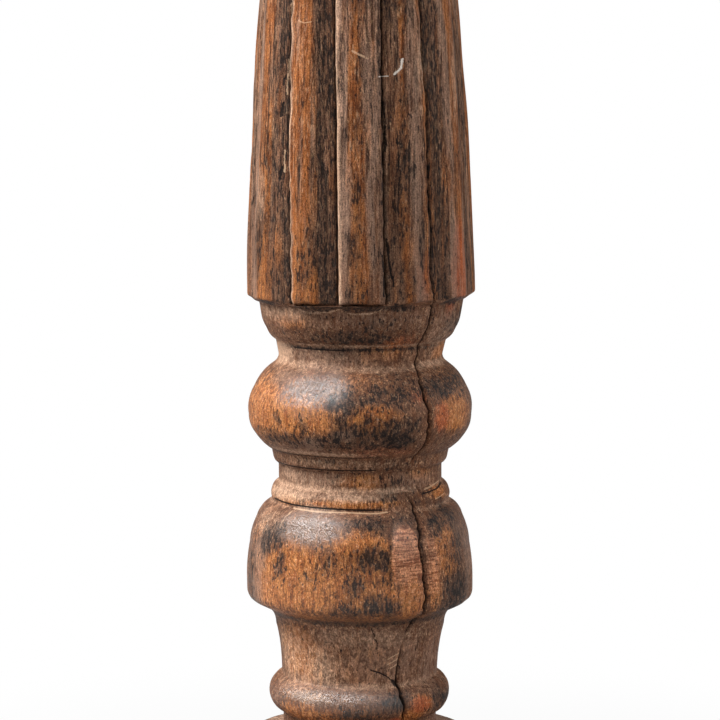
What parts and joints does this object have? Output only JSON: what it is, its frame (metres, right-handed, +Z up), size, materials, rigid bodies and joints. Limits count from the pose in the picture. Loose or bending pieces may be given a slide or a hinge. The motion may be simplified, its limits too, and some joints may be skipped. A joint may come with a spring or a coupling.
{
  "type": "wooden pricket candlestick",
  "caption": "Tall turned and reeded wooden candlestick on a square plinth, with an iron drip pan and spike for a pillar candle.",
  "frame": {"origin": "centre of the square footprint, on the surface the felt pads stand on", "axes": "+Z up along the post's turning axis, -Y towards the front, +X to the viewer's right"},
  "size_m": [0.14, 0.14, 0.56],
  "materials": {
    "post_wood": "old dark waxed hardwood, worn to orange-brown on the swells, dusty in the hollows",
    "plinth_wood": "dark waxed hardwood, rubbed at the edges",
    "dowel_wood": "bare beech",
    "pad_felt": "dark green felt",
    "washer_leather": "plain brown leather",
    "blackened_iron": "blackened and waxed, rubbed grey at the rim",
    "screw_steel": "dulled steel"
  },
  "bodies": {
    "root": {"post": "post_wood", "plinth": "plinth_wood", "plinth_coach_screw": "screw_steel", "plinth_coach_screw_washer": "screw_steel", "locating_dowel_left": "dowel_wood", "locating_dowel_right": "dowel_wood", "felt_pad_front_left": "pad_felt", "felt_pad_front_right": "pad_felt", "felt_pad_back_left": "pad_felt", "felt_pad_back_right": "pad_felt", "pan_leather": "washer_leather", "drip_pan": "blackened_iron", "pricket_spike": "blackened_iron", "pan_screw_1": "screw_steel", "pan_screw_2": "screw_steel", "pan_screw_3": "screw_steel"}
  },
  "joints": []
}
